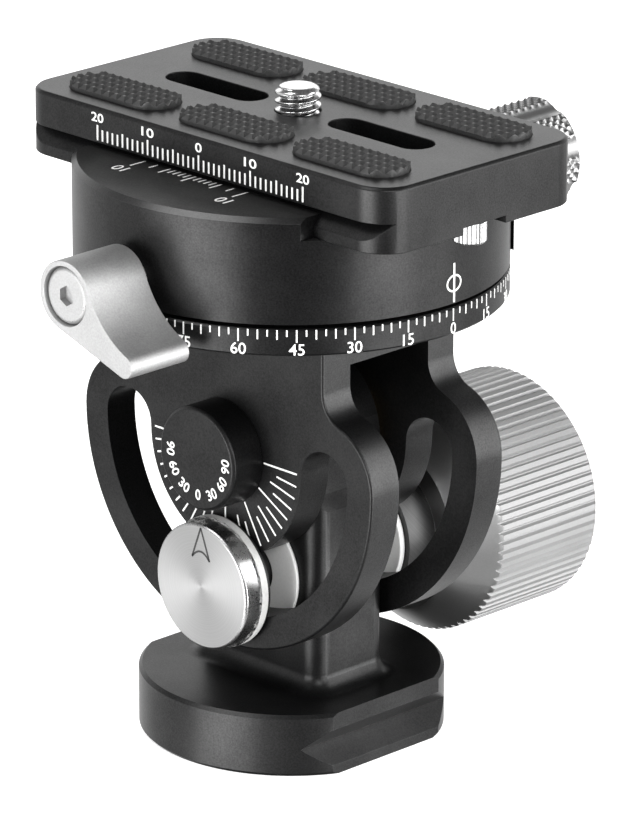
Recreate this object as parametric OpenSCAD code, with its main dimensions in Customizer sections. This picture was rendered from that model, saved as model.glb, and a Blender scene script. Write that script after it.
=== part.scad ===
// Tilt and pan head for a monopod: a slotted fork tilts on an upright column,
// a drum pans on the fork, and a knob clamp on the drum holds a quick release plate.
// Millimetres. Origin at the centre of the foot's underside, +Z up,
// +X along the plate, +Y towards the two knobs.

/* [Base] */
// Diameter of the round foot
base_d = 42.8; // [40:0.1:48]
// Thickness of the foot
base_t = 9; // [8:0.1:12]
// Distance across the two flats of the foot
base_flats = 37.5; // [36:0.1:39.8]
// Height of the lip below the dovetail grooves
groove_lip = 1.4; // [1:0.1:1.6]
// Depth of the dovetail grooves
groove_depth = 2.6; // [2:0.1:3]
// Edge break of the foot
base_edge = 0.5; // [0.2:0.1:1]
// Tapping diameter of the 3/8 inch thread in the foot
thread_d = 7.94; // [6:0.01:8]
// Depth of that thread
thread_depth = 12; // [8:0.5:14]

/* [Column] */
// Width of the column along X
col_w = 24; // [20:0.1:26]
// Thickness of the column along Y
col_t = 13.8; // [12:0.1:16]
// Corner radius of the column
col_corner = 2.6; // [1:0.1:4]
// Fillet between column and foot
foot_fillet = 2.5; // [1:0.1:3]
// Height of the tilt axis above the underside
pivot_h = 43.3; // [42:0.1:50]
// Drop from the tilt axis to the shoulders of the column
shoulder_drop = 8.1; // [5:0.1:9]
// Height of the slopes from the shoulders up to the pivot eye
shoulder_slope = 2.3; // [1:0.1:4]
// Diameter of the pivot eye
eye_d = 22; // [20:0.1:24]
// Thickness of the pivot eye
eye_t = 12.6; // [11:0.1:13]

/* [Tilt joint] */
// Diameter of the pivot axle
axle_d = 10; // [8:0.1:11]
// Wall of the pivot bushes
bush_wall = 2; // [1:0.1:2.5]
// Diameter of the bush flanges
bush_flange_d = 18; // [16:0.1:20]
// Distance from the tilt axis to the lock bolt
lock_r = 18.8; // [18:0.1:19.5]
// Diameter of the lock bolt
bolt_d = 7.4; // [6:0.1:7.6]
// Length of the lock bolt beyond the rear cheek
bolt_reach = 21; // [18:0.1:22]
// Diameter of the white lock washers
washer_d = 17.4; // [14:0.1:18]
// Thickness of the inner lock washers
washer_t = 0.55; // [0.5:0.05:1.5]
// Thickness of the outer lock washer
outer_washer_t = 1; // [0.6:0.1:2]
// Diameter of the pointer disc
pointer_d = 18; // [16:0.1:20]
// Thickness of the pointer disc
pointer_t = 4; // [3:0.1:5]
// Thickness of the flange at the back of the pointer disc
pointer_flange = 1.9; // [0.6:0.1:2.2]
// Thickness of the dark washer behind the pointer disc
pointer_washer_t = 0.65; // [0.5:0.05:1.5]
// Diameter of the pivot cap
cap_d = 14.8; // [13:0.1:17]
// Height of the pivot cap over the cheek
cap_h = 5.5; // [3.5:0.1:6]
// Diameter of the pivot nut
nut_d = 13; // [12.4:0.1:15]
// Thickness of the pivot nut
nut_t = 2.6; // [2:0.1:3.5]

/* [Fork] */
// Thickness of each cheek
cheek_t = 5.2; // [4:0.1:6]
// Outer radius of the cheeks about the tilt axis
fork_r = 28.4; // [26:0.1:29]
// Middle radius of the arc slots
slot_r = 19.3; // [19:0.05:19.5]
// Width of the arc slots
slot_w = 8.9; // [8.6:0.1:10]
// Width of the necks below the degree ring
neck_w = 38; // [32:0.1:42]
// Hollow radius between neck and cheek
neck_fillet = 4.3; // [2:0.1:6]
// Height of the degree ring's underside above the tilt axis
neck_h = 20.6; // [20:0.1:26]
// Thickness of the crown that joins the cheeks
crown_t = 4.9; // [3:0.1:5.5]
// Height of the degree ring
ring_t = 3.8; // [3:0.1:6]
// Edge break of the degree ring
ring_edge = 0.3; // [0.1:0.1:0.8]

/* [Pan joint] */
// Diameter of the drum and of the degree ring
drum_d = 60; // [58:0.1:66]
// Height of the drum
drum_h = 14.7; // [14.2:0.1:18]
// Edge break of the drum
drum_edge = 0.7; // [0.3:0.1:1]
// Gap between the degree ring and the drum
pan_gap = 0.6; // [0.4:0.1:1]
// Diameter of the spigot that the drum turns on
spigot_d = 26; // [24:0.1:27]
// Wall between the screw holes in the drum and its inner shoulder
shoulder_wall = 0.35; // [0.3:0.05:0.6]
// Diameter of the retainer disc
retainer_d = 32.4; // [30:0.1:33]
// Thickness of the retainer disc
retainer_t = 1.8; // [1.4:0.1:2.4]
// Inner diameter of the friction ring
friction_in_d = 29; // [28:0.1:32]
// Outer diameter of the friction ring
friction_out_d = 52; // [44:0.1:56]
// Thread diameter of the small fixing screws
screw_d = 3; // [2.5:0.1:3.2]
// Circle of the retainer screws
screw_circle = 16; // [12:0.1:18]
// Number of retainer screws
screw_count = 3; // [3:1:4]

/* [Pan lever] */
// Height of the lever's axis above the drum's underside
lever_up = 3.8; // [3.6:0.1:4.5]
// Diameter of the lever stud
stud_d = 6; // [5:0.1:6.5]
// Thickness of the brake shoe
shoe_t = 2.2; // [1.5:0.1:3]
// Gap between the drum and the lever
lever_gap = 1.5; // [0.8:0.1:3]
// Length of the lever along its axis
lever_l = 10.5; // [9:0.1:14]
// Radius of the lever's boss
lever_boss_r = 4.9; // [4.7:0.1:6]
// Radius of the lever's tip
lever_tip_r = 1.6; // [1.2:0.1:2.5]
// Distance from the boss to the tip
lever_reach = 13.4; // [12:0.1:18]
// Droop of the lever below horizontal
lever_droop = 32.5; // [0:0.5:60]
// Hollow radius of the lever's upper edge
lever_hollow = 14; // [10:0.5:20]
// Depth of the stud in the lever
stud_seat = 6; // [4:0.1:7]
// Diameter of the lever screw's head
lever_head_d = 8; // [5:0.1:8.4]
// Depth of the recess for that head
lever_recess = 1.6; // [1.2:0.1:2.2]

/* [Clamp] */
// Depth of the plate channel in the drum
channel_depth = 3.1; // [2.7:0.1:3.6]
// Length of the fixed jaw
fixed_jaw_l = 44.5; // [38:0.1:48]
// Distance from the drum's axis to the split of the moving jaw
jaw_split = 20.5; // [20.2:0.1:21.5]
// Gap between drum and moving jaw
jaw_gap = 0.4; // [0.3:0.05:0.8]
// Height of the ledge under the moving jaw
jaw_ledge = 1.3; // [1:0.1:2.5]
// How far the moving jaw stands out from the drum
jaw_proud = 0.45; // [0:0.05:1]
// Height of the clamp screw above the drum's underside
clamp_up = 4.7; // [4.4:0.1:5]
// Diameter of the clamp screw
clamp_screw_d = 5; // [4:0.1:5]
// Diameter of the clamp knob
clamp_knob_d = 15.8; // [14:0.1:18]
// Length of the clamp knob
clamp_knob_l = 19.3; // [17:0.1:24]
// Length of the plain neck of the clamp knob
clamp_neck_l = 5.4; // [4:0.1:7]
// Number of smooth flutes in the clamp knob
flute_count = 7; // [5:1:9]
// Radius of the flutes
flute_r = 2.4; // [2:0.1:3]
// Depth of the flutes
flute_depth = 0.9; // [0.5:0.1:1.2]
// Turn of the first flute from straight up
flute_turn = 22; // [0:1:50]
// Diameter of the guide pins
pin_d = 3; // [2:0.1:3.4]
// Distance between the guide pins
pin_pitch = 26; // [22:0.1:28]
// Reach of the guide pins into the drum
pin_in_drum = 10; // [8:0.1:11]
// Reach of the guide pins into the moving jaw
pin_in_jaw = 4.2; // [3.4:0.1:4.6]
// Diameter of the thrust washer under the clamp knob
clamp_washer_d = 9; // [8:0.1:10]
// Thickness of that washer
clamp_washer_t = 0.4; // [0.3:0.05:0.45]
// Diameter of the clamp knob's neck
clamp_neck_d = 8.4; // [7:0.1:9]
// Size of the clamp knob's bevel
clamp_bevel = 2.5; // [1:0.1:3]
// Depth of the spring's pocket in the drum
spring_in_drum = 2.2; // [1.8:0.1:3]
// Depth of the spring's pocket in the moving jaw
spring_in_jaw = 3.2; // [2.6:0.1:4]
// Wire diameter of the jaw spring
wire_d = 1; // [0.6:0.05:1]
// Turns of the jaw spring
spring_turns = 3; // [2:1:3]

/* [Plate] */
// Length of the plate
plate_l = 71; // [69:0.1:90]
// Width of the plate
plate_w = 37.9; // [36:0.1:38.2]
// Thickness of the plate
plate_t = 9.1; // [8:0.1:11]
// Corner radius of the plate
plate_corner = 5.1; // [4:0.1:9]
// Offset of the plate from the drum's axis
plate_off = 1.25; // [0.6:0.05:1.3]
// Height of the plate's lower lip
dovetail_lip = 1.6; // [1.2:0.1:2]
// Depth of the dovetail groove at 45 degrees
dovetail_depth = 2.5; // [2:0.1:3]
// Edge break of the plate
plate_edge = 0.4; // [0.2:0.1:0.8]
// Length of the two long slots
plate_slot_l = 18.2; // [16:0.1:20]
// Width of the two long slots
plate_slot_w = 5.3; // [5:0.1:6.6]
// Distance from the plate's centre to the middle of a long slot
plate_slot_x = 16; // [14:0.1:17]
// Width of the channel under the plate
under_w = 8; // [6.5:0.1:10]
// Depth of the channel under the plate
under_depth = 1; // [0.6:0.1:1.4]
// Length of a pad
pad_l = 18.8; // [16:0.1:20]
// Width of a pad
pad_w = 8; // [6:0.1:8.4]
// Height of a pad over the plate
pad_h = 1; // [0.6:0.1:1.5]
// Depth of the pads' pockets
pad_pocket = 0.4; // [0.2:0.1:0.8]
// Distance between the studs of a pad
stud_pitch = 1.55; // [1.4:0.05:3]
// Width of a stud's flat top
stud_top = 0.4; // [0.2:0.05:0.8]
// Depth of the grooves between the studs
stud_h = 0.6; // [0.3:0.05:0.6]
// Distance between pads along the plate
pad_pitch_x = 22; // [21:0.1:23]
// Distance between the two rows of pads
pad_pitch_y = 23.2; // [20:0.1:24]
// Major diameter of the 1/4 inch camera screw
camera_d = 6.35; // [6:0.01:6.35]
// Height of the camera screw over the plate
camera_h = 3.5; // [3.2:0.1:5.5]
// Diameter of the relief at the foot of the camera screw's thread
camera_relief_d = 5; // [4.5:0.1:5.5]
// Length of that relief
camera_relief = 0.6; // [0.4:0.1:1]
// Diameter of the camera screw's head under the plate
camera_head_d = 13.8; // [11:0.1:14.4]
// Thickness of that head
camera_head_t = 2.4; // [1.8:0.1:3]
// Distance from the plate's ends to the stop screws
stop_inset = 2.75; // [2.5:0.05:3.5]
// Diameter of a stop screw's head
stop_head_d = 4.5; // [4.2:0.1:5.6]
// Height of a stop screw's head
stop_head_h = 3.3; // [2.5:0.1:4]
// Depth of a stop screw in the plate
stop_depth = 5; // [4:0.1:6]

/* [Tilt knob] */
// Diameter of the tilt knob over its ridges
knob_d = 34.1; // [30:0.1:38]
// Diameter of the knob's nose
knob_nose_d = 19; // [17:0.1:20]
// Length of the nose
knob_nose_l = 5.2; // [3:0.1:7]
// Diameter where the knob's bevel starts
knob_bevel_d = 25; // [22:0.1:28]
// Length of the bevel
knob_bevel_l = 6; // [3:0.1:8]
// Length of the ridged grip
knob_grip_l = 18.8; // [14:0.1:22]
// Rounding of the far edge
knob_round = 1; // [0.5:0.1:2]
// Number of ridges
ridge_count = 74; // [60:1:80]
// Depth of the grooves between the ridges
ridge_depth = 0.45; // [0.3:0.05:0.6]
// Diameter of the threaded insert
insert_d = 12; // [11:0.1:14]
// Diameter of the turned recess in the end face
knob_dish_d = 24; // [18:0.1:26]
// Depth of that recess
knob_dish = 0.8; // [0.4:0.1:1.5]

/* [Clearances] */
// Radial clearance of turning and sliding fits
run_gap = 0.05; // [0.02:0.01:0.1]
// Radial clearance of fixed fits
fit_gap = 0.02; // [0.01:0.01:0.05]
// Clearance between faces that slide on each other
side_gap = 0.05; // [0.02:0.01:0.1]
// Clearance of pieces that must not touch
free_gap = 0.3; // [0.3:0.05:0.5]

/* [Hidden] */
$fn = 72;
// Overlap that joins two shapes of one piece
join = 0.5;
// Reach of a cutting shape past what it cuts
past = 2;

black = "#2a2a2c";
silver = "#c9cacb";
steel = "#b9babc";
white = "#ecece8";

// Heights along the head's upright axis
lock_z = pivot_h - lock_r;
shoulder_z = pivot_h - shoulder_drop;
ring_z = pivot_h + neck_h;
ring_top = ring_z + ring_t;
crown_z = ring_z - crown_t;
drum_z = ring_top + pan_gap;
drum_top = drum_z + drum_h;
lever_z = drum_z + lever_up;
clamp_z = drum_z + clamp_up;
inner_z = max(lever_z + stud_d / 2, clamp_z + clamp_screw_d / 2) + run_gap + shoulder_wall;
spigot_top = inner_z + side_gap;
floor_z = drum_top - channel_depth;
plate_top = floor_z + plate_t;
stop_seat = floor_z + under_depth;
jaw_z = drum_z + jaw_ledge;

// Places along Y, outwards from the column
cheek_in = col_t / 2 + washer_t + side_gap;
cheek_out = cheek_in + cheek_t;
pointer_back = cheek_out + side_gap + pointer_washer_t;
pointer_face = pointer_back + pointer_t;
knob_y = cheek_out + side_gap + outer_washer_t + side_gap;
knob_end = knob_y + knob_nose_l + knob_bevel_l + knob_grip_l + knob_round;
bolt_end = cheek_out + bolt_reach;

// Radii of the turned parts
bush_r = axle_d / 2 + run_gap + bush_wall;
spigot_r = spigot_d / 2;
drum_r = drum_d / 2;
retainer_r = retainer_d / 2;
fork_cap_r = fork_r - slot_r;
jaw_r = drum_r + jaw_proud;

// Walls of the plate channel
plate_front = plate_off - plate_w / 2;
plate_back = plate_off + plate_w / 2;
lip_rise = channel_depth - dovetail_lip;
jaw_face = jaw_split + jaw_gap;

// Seat of the clamp knob on the moving jaw
clamp_seat = jaw_r - clamp_washer_t + side_gap;
clamp_knob_y = clamp_seat + clamp_washer_t + 2 * side_gap;
clamp_tip = spigot_r + 4 * free_gap;

// Room for the jaw spring, partly in the drum and partly in the jaw
spring_r = clamp_screw_d / 2 + free_gap + wire_d;
spring_pocket_r = spring_r + free_gap;
spring_start = jaw_split - spring_in_drum + side_gap;
spring_l = spring_in_drum + jaw_gap + spring_in_jaw - 2 * side_gap;
spring_pitch = (spring_l - wire_d) / spring_turns;
echo("gap between the turns of the jaw spring", spring_pitch - wire_d);

// Extrudes an outline drawn in X and Z from y0 to y1
module along_y(y0, y1) {
    translate([0, y1, 0]) rotate([90, 0, 0]) linear_extrude(y1 - y0) children();
}

// Extrudes an outline drawn in Y and Z, centred on X
module along_x(length) {
    translate([-length / 2, 0, 0]) rotate([90, 0, 90]) linear_extrude(length) children();
}

// Turns a profile of radius and Y about an axis at height z
module turned_y(z, points) {
    translate([0, 0, z]) rotate([-90, 0, 0]) rotate_extrude() polygon(points);
}

// Round bar along Y from y0 to y1
module bar_y(d, z, y0, y1) {
    translate([0, y0, z]) rotate([-90, 0, 0]) cylinder(d = d, h = y1 - y0);
}

// Disc along Y with a hole
module washer_y(d, hole_d, z, y0, y1) {
    difference() {
        bar_y(d, z, y0, y1);
        bar_y(hole_d, z, y0 - past, y1 + past);
    }
}

module rounded_square(w, d, r) {
    square([w - 2 * r, d], center = true);
    square([w, d - 2 * r], center = true);
    for (sx = [-1, 1], sy = [-1, 1])
        translate([sx * (w / 2 - r), sy * (d / 2 - r)]) circle(r = r);
}

module obround(l, w) {
    square([l - w, w], center = true);
    for (s = [-1, 1]) translate([s * (l - w) / 2, 0]) circle(d = w);
}

// Half plane above or below the line y = 0
module half_plane(side, reach) {
    translate([-reach, side > 0 ? 0 : -reach]) square([2 * reach, reach]);
}

// Arm between two circles, c0 with r0 and c1 with r1: straight along its right side
// and hollow along its left side, where a circle of radius r touches both
module hollow_arm(c0, r0, c1, r1, r) {
    d = norm(c1 - c0);
    u = (c1 - c0) / d;
    left = [-u[1], u[0]];
    a = r0 + r;
    b = r1 + r;
    s = (a * a - b * b + d * d) / (2 * d);
    c = c0 + s * u + sqrt(a * a - s * s) * left;
    lean = (r0 - r1) / d;
    right = lean * u - sqrt(1 - lean * lean) * left;
    difference() {
        polygon([c0 + r0 * right, c1 + r1 * right, c1 + (c - c1) * r1 / b, c0 + (c - c0) * r0 / a]);
        translate(c) circle(r = r);
    }
}

// Foot: turned disc with two flats and a dovetail groove in each flat
module foot() {
    r = base_d / 2;
    flat = base_flats / 2;
    e = base_edge;
    difference() {
        intersection() {
            rotate_extrude()
                polygon([[0, 0], [r - e, 0], [r, e], [r, base_t - e], [r - e, base_t], [0, base_t]]);
            translate([-flat, -base_d, 0]) cube([base_flats, 2 * base_d, base_t]);
        }
        for (side = [0, 1]) mirror([side, 0, 0])
            along_y(-base_d, base_d)
                polygon([[flat - groove_depth, groove_lip + groove_depth],
                         [flat + past, groove_lip + 2 * groove_depth + past],
                         [flat + past, groove_lip - past]]);
    }
}

// Hollow fillet all round the column where it stands on the foot
module foot_blend() {
    f = foot_fillet;
    straight_x = col_w - 2 * col_corner;
    straight_y = col_t - 2 * col_corner;
    module hollow() {
        difference() {
            translate([-join, -join]) square(f + join);
            translate([f, f]) circle(r = f);
        }
    }
    translate([0, 0, base_t]) {
        for (side = [0, 1]) mirror([side, 0, 0])
            translate([col_w / 2, straight_y / 2, 0]) rotate([90, 0, 0]) linear_extrude(straight_y) hollow();
        for (side = [0, 1]) mirror([0, side, 0])
            translate([-straight_x / 2, col_t / 2, 0]) rotate([90, 0, 90]) linear_extrude(straight_x) hollow();
        for (sx = [0, 1], sy = [0, 1]) mirror([sx, 0, 0]) mirror([0, sy, 0])
            translate([straight_x / 2, straight_y / 2, 0])
                rotate_extrude(angle = 90) translate([col_corner, 0]) hollow();
    }
}

// Web that carries the eye: the column's section between two slopes on its shoulders
module eye_web() {
    half = col_w / 2;
    neck = eye_d / 2;
    low = shoulder_z - join;
    slope_top = shoulder_z + shoulder_slope;
    intersection() {
        translate([0, 0, low]) linear_extrude(pivot_h - low) rounded_square(col_w, col_t, col_corner);
        along_y(-eye_t / 2, eye_t / 2)
            polygon([[-half, low], [half, low], [half, shoulder_z], [neck, slope_top], [neck, pivot_h],
                     [-neck, pivot_h], [-neck, slope_top], [-half, shoulder_z]]);
    }
}

module base() {
    color(black) difference() {
        union() {
            foot();
            foot_blend();
            translate([0, 0, base_t - join])
                linear_extrude(shoulder_z - base_t + join) rounded_square(col_w, col_t, col_corner);
            eye_web();
            bar_y(eye_d, pivot_h, -eye_t / 2, eye_t / 2);
        }
        translate([0, 0, -past]) cylinder(d = thread_d, h = thread_depth + past);
        bar_y(bolt_d + 2 * fit_gap, lock_z, -col_t, col_t);
        bar_y(2 * (bush_r + fit_gap), pivot_h, -col_t, col_t);
        for (side = [0, 1]) mirror([0, side, 0])
            bar_y(bush_flange_d + 2 * run_gap, pivot_h, eye_t / 2, col_t);
    }
}

// Two flanged bushes, pushed into the eye from both sides
module tilt_bushes() {
    flange = eye_t / 2;
    rim = cheek_in - side_gap;
    color(white) for (side = [0, 1]) mirror([0, side, 0])
        turned_y(pivot_h, [[axle_d / 2 + run_gap, side_gap], [bush_r, side_gap], [bush_r, flange],
                           [bush_flange_d / 2, flange], [bush_flange_d / 2, rim],
                           [axle_d / 2 + run_gap, rim]]);
}

module lock_bolt() {
    color(steel) bar_y(bolt_d, lock_z, -pointer_face + pointer_t / 2, bolt_end);
}

// Head of the lock bolt: thick disc with a thin flange at its back
module pointer_disc() {
    r = pointer_d / 2;
    e = 0.3;
    bore = bolt_d / 2 + fit_gap;
    color(silver) mirror([0, 1, 0])
        turned_y(lock_z, [[bore, pointer_back], [r + e, pointer_back], [r + e, pointer_back + pointer_flange],
                          [r, pointer_back + pointer_flange], [r, pointer_face - e], [r - e, pointer_face],
                          [0, pointer_face], [0, pointer_back + pointer_t / 2],
                          [bore, pointer_back + pointer_t / 2]]);
}

module pointer_washer() {
    color(black)
        washer_y(pointer_d, bolt_d + 2 * fit_gap, lock_z, -pointer_back, -pointer_back + pointer_washer_t);
}

module inner_washers() {
    color(white) for (side = [0, 1]) mirror([0, side, 0])
        washer_y(washer_d, bolt_d + 2 * fit_gap, lock_z, col_t / 2, col_t / 2 + washer_t);
}

module outer_washer() {
    color(white)
        washer_y(washer_d, bolt_d + 2 * run_gap, lock_z, cheek_out + side_gap, knob_y - side_gap);
}

// Outline of the ridged grip: flat-topped ridges with narrow grooves between them
module ridged_outline() {
    step = 360 / ridge_count;
    top = knob_d / 2;
    root = top - ridge_depth;
    shares = [[0, root], [0.2, top], [0.7, top], [0.9, root]];
    polygon([for (i = [0:ridge_count - 1], s = shares)
        s[1] * [cos((i + s[0]) * step), sin((i + s[0]) * step)]]);
}

module tilt_knob() {
    r = knob_d / 2 + join;
    bevel_y = knob_y + knob_nose_l;
    grip_y = bevel_y + knob_bevel_l;
    slope = (knob_d - knob_bevel_d) / 2 / knob_bevel_l;
    bore = insert_d / 2 + fit_gap;
    color(silver) difference() {
        intersection() {
            turned_y(lock_z, [[0, bevel_y], [knob_bevel_d / 2, bevel_y], [r, grip_y + join / slope],
                              [r, knob_end - knob_round - join], [r - join - knob_round, knob_end],
                              [0, knob_end]]);
            along_y(bevel_y - past, knob_end + past) translate([0, lock_z]) ridged_outline();
        }
        bar_y(2 * bore, lock_z, knob_y - past, bolt_end + 2 * free_gap);
        bar_y(knob_dish_d, lock_z, knob_end - knob_dish, knob_end + past);
    }
    color(silver) washer_y(knob_nose_d, 2 * bore, lock_z, knob_y, bevel_y);
}

module knob_insert() {
    color("#b08d4a")
        washer_y(insert_d, bolt_d + 2 * run_gap, lock_z, knob_y, bolt_end + free_gap);
}

// Side view of a cheek about the tilt axis, without its holes
module cheek_outline() {
    intersection() {
        circle(r = fork_r);
        half_plane(-1, fork_r);
    }
    translate([-neck_w / 2, -join]) square([neck_w, neck_h + 2 * join]);
    for (side = [0, 1]) mirror([side, 0]) {
        intersection() {
            translate([slot_r, 0]) circle(r = fork_cap_r);
            half_plane(1, fork_r);
        }
        neck_blend();
    }
}

// Hollow blend from the round end of a cheek up into the straight neck
module neck_blend() {
    edge = neck_w / 2;
    reach = fork_cap_r + neck_fillet;
    over = edge + neck_fillet - slot_r;
    rise = sqrt(reach * reach - over * over);
    touch = [slot_r + over * fork_cap_r / reach, rise * fork_cap_r / reach];
    difference() {
        polygon([[0, 0], [slot_r, 0], touch, [edge, rise], [0, rise]]);
        translate([edge + neck_fillet, rise]) circle(r = neck_fillet);
    }
}

// Half circle slot about the tilt axis, with round ends
module arc_slot() {
    difference() {
        intersection() {
            circle(r = slot_r + slot_w / 2);
            half_plane(-1, fork_r);
        }
        circle(r = slot_r - slot_w / 2);
    }
    for (s = [-1, 1]) intersection() {
        translate([s * slot_r, 0]) circle(d = slot_w);
        half_plane(1, fork_r);
    }
}

module fork() {
    e = ring_edge;
    color(black) difference() {
        union() {
            for (side = [0, 1]) mirror([0, side, 0])
                along_y(cheek_in, cheek_out) translate([0, pivot_h]) difference() {
                    cheek_outline();
                    arc_slot();
                }
            translate([-neck_w / 2, -cheek_in - join, crown_z])
                cube([neck_w, 2 * (cheek_in + join), crown_t + join]);
            translate([0, 0, ring_z]) rotate_extrude()
                polygon([[0, 0], [drum_r - e, 0], [drum_r, e], [drum_r, ring_t - e], [drum_r - e, ring_t],
                         [spigot_r, ring_t], [spigot_r, spigot_top - ring_z], [0, spigot_top - ring_z]]);
        }
        bar_y(axle_d + 2 * fit_gap, pivot_h, -cheek_out - past, cheek_out + past);
        bar_y(nut_d + 2 * fit_gap, pivot_h, cheek_out - nut_t, cheek_out + past);
        retainer_places() translate([0, 0, drum_z]) cylinder(d = screw_d + 2 * fit_gap, h = drum_h);
    }
}

module pivot_axle() {
    color(steel) bar_y(axle_d, pivot_h, -cheek_out - cap_h / 2, cheek_out - side_gap);
}

module pivot_cap() {
    r = cap_d / 2;
    e = 0.4;
    bore = axle_d / 2 + fit_gap;
    seat = cheek_out;
    top = cheek_out + cap_h;
    color(black) mirror([0, 1, 0])
        turned_y(pivot_h, [[bore, seat], [r, seat], [r, top - e], [r - e, top], [0, top],
                           [0, seat + cap_h / 2], [bore, seat + cap_h / 2]]);
}

// Round nut let into the rear cheek, with two holes for a pin spanner
module pivot_nut() {
    key_d = 1.2;
    key_r = (axle_d + nut_d) / 4;
    color(steel) difference() {
        washer_y(nut_d, axle_d + 2 * fit_gap, pivot_h, cheek_out - nut_t, cheek_out);
        for (s = [-1, 1]) translate([s * key_r, 0, 0])
            bar_y(key_d, pivot_h, cheek_out - nut_t / 2, cheek_out + past);
    }
}

module friction_ring() {
    color("#d8d2b8") translate([0, 0, ring_top]) difference() {
        cylinder(d = friction_out_d, h = pan_gap - side_gap);
        translate([0, 0, -past]) cylinder(d = friction_in_d, h = pan_gap + 2 * past);
    }
}

// Places its children at each retainer screw
module retainer_places() {
    for (i = [0:screw_count - 1])
        rotate(i * 360 / screw_count) translate([screw_circle / 2, 0, 0]) children();
}

module retainer_head(gap) {
    depth = retainer_t * 5 / 6;
    translate([0, 0, spigot_top + retainer_t - depth])
        cylinder(d1 = screw_d + 2 * gap, d2 = screw_d + 2 * depth + 2 * gap, h = depth);
}

module pan_retainer() {
    color(steel) difference() {
        translate([0, 0, spigot_top]) cylinder(r = retainer_r, h = retainer_t);
        retainer_places() {
            translate([0, 0, spigot_top - past]) cylinder(d = screw_d + 2 * fit_gap, h = retainer_t + past);
            retainer_head(fit_gap);
        }
    }
}

module retainer_screws() {
    key_d = 2;
    key_depth = 1;
    color(steel) retainer_places() difference() {
        union() {
            translate([0, 0, drum_z + side_gap])
                cylinder(d = screw_d, h = spigot_top + retainer_t - drum_z - 2 * side_gap);
            retainer_head(0);
        }
        translate([0, 0, spigot_top + retainer_t - key_depth])
            cylinder(d = key_d, h = key_depth + past, $fn = 6);
    }
}

// Section of the room that the clamp leaves for the plate's dovetail, open at +Y
module channel_section() {
    wall = plate_front - side_gap;
    polygon([[wall, floor_z], [wall, floor_z + dovetail_lip], [wall + lip_rise, drum_top],
             [wall + lip_rise, drum_top + past], [drum_d, drum_top + past], [drum_d, floor_z]]);
}

module pan_drum() {
    e = drum_edge;
    bore = spigot_r + run_gap;
    room = retainer_r + free_gap;
    color(black) difference() {
        rotate_extrude()
            polygon([[bore, drum_z], [drum_r, drum_z], [drum_r, drum_top - e], [drum_r - e, drum_top],
                     [room, drum_top], [room, inner_z], [bore, inner_z]]);
        along_x(2 * drum_d) channel_section();
        for (side = [0, 1]) mirror([side, 0, 0])
            translate([fixed_jaw_l / 2, -drum_d, floor_z]) cube([drum_d, drum_d, drum_h]);
        translate([-drum_d, jaw_split, jaw_z - side_gap]) cube([2 * drum_d, drum_d, drum_h + past]);
        bar_y(stud_d + 2 * run_gap, lever_z, -drum_d, 0);
        bar_y(clamp_screw_d + 2 * run_gap, clamp_z, 0, drum_d);
        bar_y(2 * spring_pocket_r, clamp_z, jaw_split - spring_in_drum, drum_d);
        pin_places() bar_y(pin_d + 2 * fit_gap, clamp_z, jaw_split - pin_in_drum, drum_d);
        // Room for the stop screws of a plate that is shorter than the drum
        stop_places() translate([0, 0, stop_seat - stop_head_h - free_gap])
            cylinder(d = stop_head_d + 8 * side_gap, h = drum_h);
    }
}

module pin_places() {
    for (s = [-1, 1]) translate([s * pin_pitch / 2, 0, 0]) children();
}

module brake_shoe() {
    tip = -spigot_r - free_gap - side_gap;
    color("#b08d4a") bar_y(stud_d, lever_z, tip - shoe_t, tip);
}

module lever_stud() {
    tip = -spigot_r - free_gap - 2 * side_gap - shoe_t;
    end = -drum_r - lever_gap - stud_seat + side_gap;
    color(steel) difference() {
        bar_y(stud_d, lever_z, end, tip);
        bar_y(screw_d + 2 * fit_gap, lever_z, end - past, end + stud_seat);
    }
}

// Side view of the lever about its axis: boss, arm with a hollow upper edge and round tip
module lever_outline() {
    tip = lever_reach * [cos(lever_droop), -sin(lever_droop)];
    circle(r = lever_boss_r);
    translate(tip) circle(r = lever_tip_r);
    hollow_arm([0, 0], lever_boss_r, tip, lever_tip_r, lever_hollow);
}

module pan_lever() {
    near = -drum_r - lever_gap;
    far = near - lever_l;
    color(silver) difference() {
        along_y(far, near) translate([0, lever_z]) lever_outline();
        bar_y(stud_d + 2 * fit_gap, lever_z, near - stud_seat, near + past);
        bar_y(screw_d + 2 * fit_gap, lever_z, far - past, near);
        bar_y(lever_head_d + 4 * run_gap, lever_z, far - past, far + lever_recess);
    }
}

// Socket head screw that holds the lever on its stud
module lever_screw() {
    far = -drum_r - lever_gap - lever_l;
    sunk = 0.3;
    key_d = 2.9;
    color(steel) difference() {
        union() {
            bar_y(lever_head_d, lever_z, far + sunk, far + lever_recess);
            bar_y(screw_d, lever_z, far + lever_recess - side_gap, -drum_r - lever_gap - side_gap);
        }
        translate([0, far - past, lever_z]) rotate([-90, 30, 0])
            cylinder(d = key_d, h = past + lever_recess - sunk, $fn = 6);
    }
}

// Section of the moving jaw: body behind the split and a lip over the plate's dovetail
module jaw_section() {
    wall = plate_back + side_gap;
    polygon([[jaw_face, jaw_z], [drum_d, jaw_z], [drum_d, drum_top], [wall - lip_rise, drum_top],
             [wall, floor_z + dovetail_lip], [wall, floor_z + side_gap], [jaw_face, floor_z + side_gap]]);
}

module moving_jaw() {
    e = drum_edge;
    color(black) difference() {
        intersection() {
            rotate_extrude()
                polygon([[0, jaw_z], [jaw_r, jaw_z], [jaw_r, drum_top - e], [jaw_r - e, drum_top],
                         [0, drum_top]]);
            along_x(2 * drum_d) jaw_section();
        }
        bar_y(clamp_screw_d + 2 * run_gap, clamp_z, 0, drum_d);
        bar_y(clamp_washer_d + 2 * free_gap, clamp_z, clamp_seat, drum_d);
        bar_y(2 * spring_pocket_r, clamp_z, 0, jaw_face + spring_in_jaw);
        pin_places() bar_y(pin_d + 2 * run_gap, clamp_z, 0, jaw_face + pin_in_jaw + free_gap);
    }
}

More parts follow.
